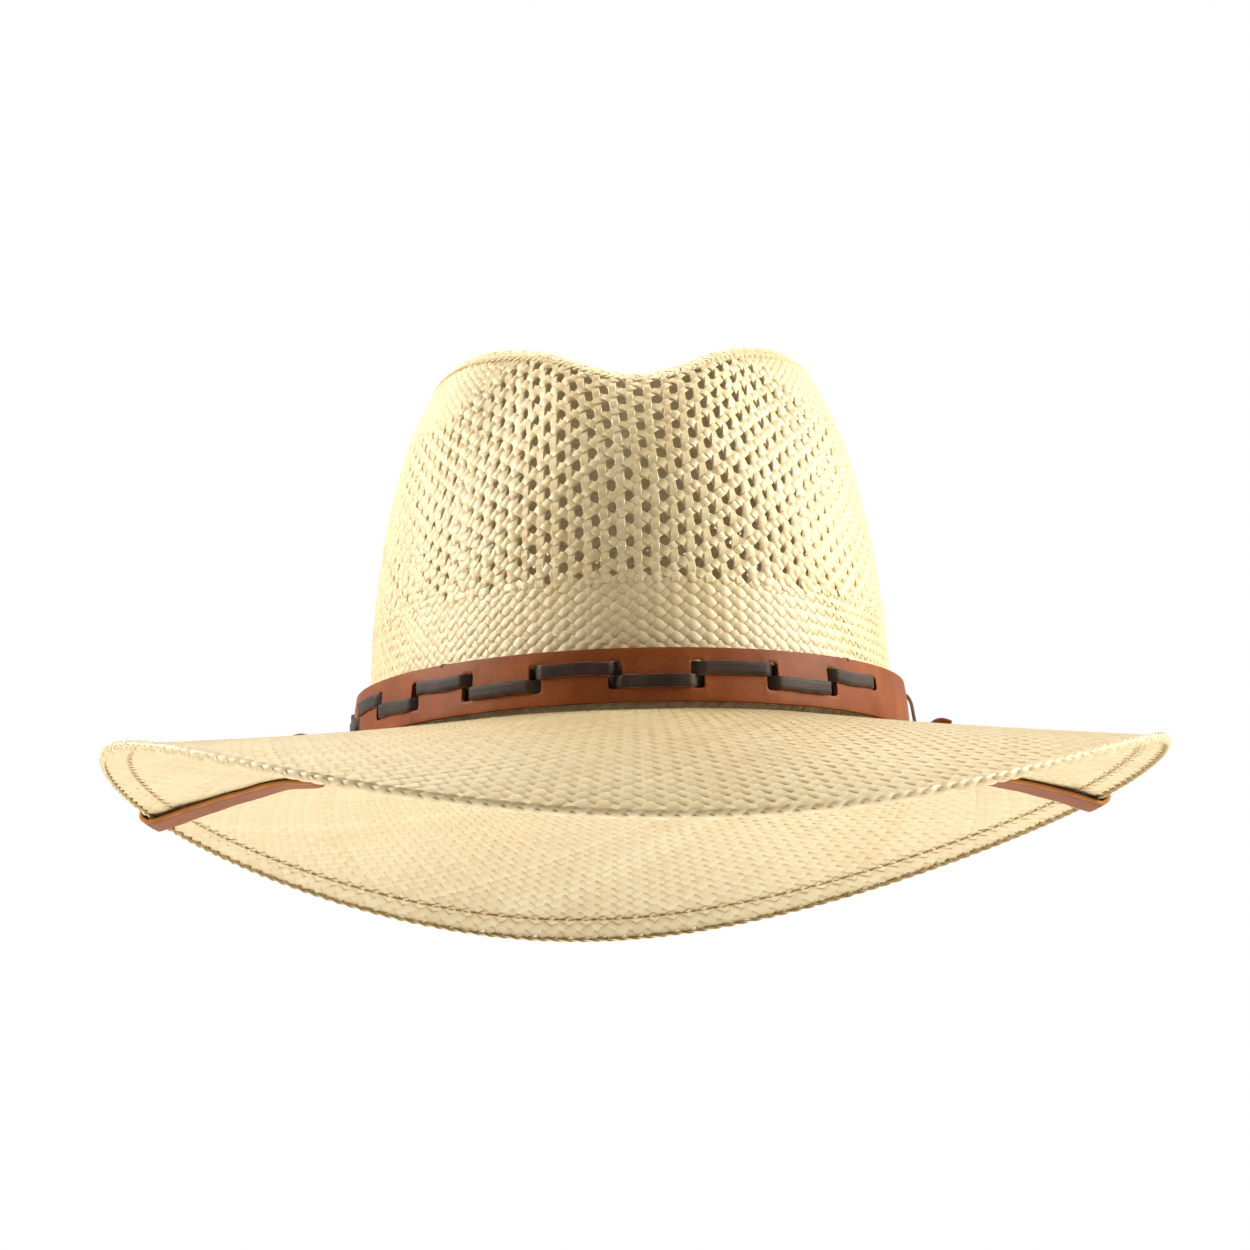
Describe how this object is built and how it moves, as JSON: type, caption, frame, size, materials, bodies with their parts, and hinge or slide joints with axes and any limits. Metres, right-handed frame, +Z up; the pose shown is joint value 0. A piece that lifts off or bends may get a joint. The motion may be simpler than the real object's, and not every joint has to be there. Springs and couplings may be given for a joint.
{
  "type": "panama hat",
  "caption": "Wide-brimmed woven straw hat with an openwork, centre-creased crown, a slotted leather hatband threaded with dark laces, a sweatband and a leather chin strap.",
  "frame": {"origin": "centre of the head opening, at the break between crown and brim", "axes": "+Z up through the crown, front of the hat faces -Y, wearer's left is +X"},
  "size_m": [0.3348, 0.3478, 0.1688],
  "materials": {
    "straw": "woven natural straw, cream yellow",
    "hem_thread": "golden sewing thread",
    "band_leather": "smooth cognac leather",
    "lace_leather": "dark brown grained lace",
    "strap_leather": "saddle brown leather with lighter cut edges",
    "tack_thread": "brown sewing thread",
    "sweat_leather": "tan glazed sweatband leather",
    "reed_cover": "covered reed cord",
    "ribbon": "brown satin ribbon",
    "tag_cloth": "plain white woven tape"
  },
  "bodies": {
    "hat": {"straw_body": "straw", "hem_stitching": "hem_thread", "leather_hatband": "band_leather", "hatband_lace_upper": "lace_leather", "hatband_lace_lower": "lace_leather", "hatband_tacks": "tack_thread", "lace_knot": "lace_leather", "chin_strap": "strap_leather", "chin_strap_knot_right": "strap_leather", "chin_strap_knot_left": "strap_leather", "sweatband": "sweat_leather", "sweatband_reed": "reed_cover", "sweatband_stitching": "hem_thread", "sweatband_bow": "ribbon", "size_tag": "tag_cloth"},
    "front_lace_end": {"lace_tail_front": "lace_leather"},
    "rear_lace_end": {"lace_tail_rear": "lace_leather"}
  },
  "joints": [
    {"name": "front_lace_swing", "type": "hinge", "parent": "hat", "child": "front_lace_end", "pos_m": [0.08863, 0.02695, 0.0135], "axis": [-0.1392, -0.9903, 0], "range_deg": [0, 60]},
    {"name": "rear_lace_swing", "type": "hinge", "parent": "hat", "child": "rear_lace_end", "pos_m": [0.08603, 0.03599, 0.0105], "axis": [0.9703, -0.2419, 0], "range_deg": [0, 60]}
  ]
}
